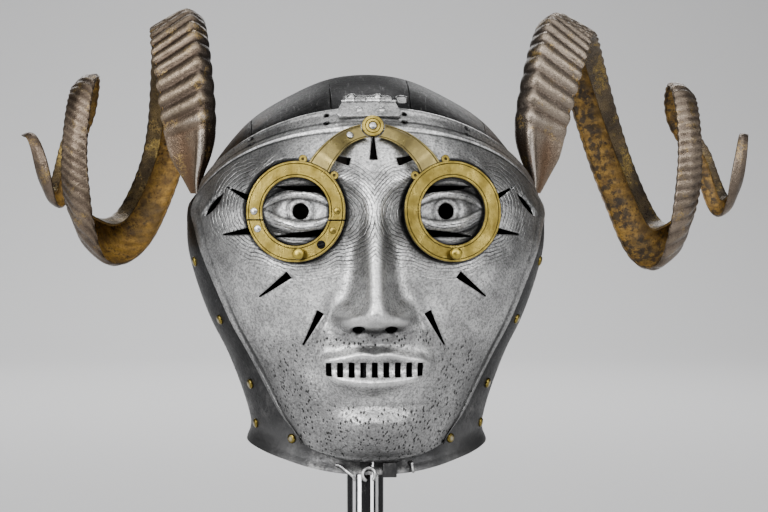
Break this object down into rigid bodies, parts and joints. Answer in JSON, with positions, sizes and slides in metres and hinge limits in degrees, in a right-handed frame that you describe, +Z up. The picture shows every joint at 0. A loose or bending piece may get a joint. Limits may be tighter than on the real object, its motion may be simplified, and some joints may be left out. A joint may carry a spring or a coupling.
{
  "type": "horned helmet on stand",
  "caption": "Steel parade helmet with a hinged face mask, curled sheet-iron ram horns and brass spectacles, on a chrome pole stand.",
  "frame": {"origin": "middle of the stand's round base, on the floor", "axes": "+Z up, the mask faces -Y, +X is the wearer's left"},
  "size_m": [0.5012, 0.294, 0.4638],
  "materials": {
    "light_steel": "aged satin",
    "dark_steel": "dark polished",
    "brass": "scratched satin",
    "horn_iron": "rusted, with remains of gilding",
    "chrome": "polished"
  },
  "bodies": {
    "helmet": {"skull_right_outer": "dark_steel", "skull_right_inner": "dark_steel", "skull_centre": "dark_steel", "skull_left_inner": "dark_steel", "skull_left_outer": "dark_steel", "cheek_right": "dark_steel", "cheek_left": "dark_steel", "horn_right": "horn_iron", "horn_left": "horn_iron", "hinge_skull_leaf": "light_steel", "hinge_skull_rivet_1": "light_steel", "hinge_skull_rivet_2": "light_steel", "hinge_pin": "light_steel", "chin_hook": "light_steel", "chin_staple": "light_steel", "chin_eye": "light_steel", "chin_loop": "dark_steel", "rivet_temple_right": "brass", "rivet_cheek_right": "brass", "rivet_jaw_right": "brass", "rivet_neck_right": "brass", "rivet_throat_right": "brass", "rivet_temple_left": "brass", "rivet_cheek_left": "brass", "rivet_jaw_left": "brass", "rivet_neck_left": "brass", "rivet_throat_left": "brass", "stand": "chrome"},
    "mask": {"face_mask": "light_steel", "rim_right_upper": "brass", "rim_right_lower": "brass", "rim_left": "brass", "arm_right": "brass", "arm_left": "brass", "bridge_disc": "brass", "rim_knob_right": "brass", "rim_knob_left": "brass", "rim_rivet_outer_upper": "light_steel", "rim_rivet_outer_lower": "light_steel", "rim_rivet_inner_upper": "brass", "rim_rivet_inner_lower": "brass", "arm_rivet": "light_steel", "hinge_mask_leaf": "light_steel", "hinge_mask_rivet_1": "light_steel", "hinge_mask_rivet_2": "light_steel"}
  },
  "joints": [
    {"name": "mask_hinge", "type": "hinge", "parent": "helmet", "child": "mask", "pos_m": [0, -0.0854, 0.3987], "axis": [-1, 0, 0], "range_deg": [0, 85]}
  ]
}
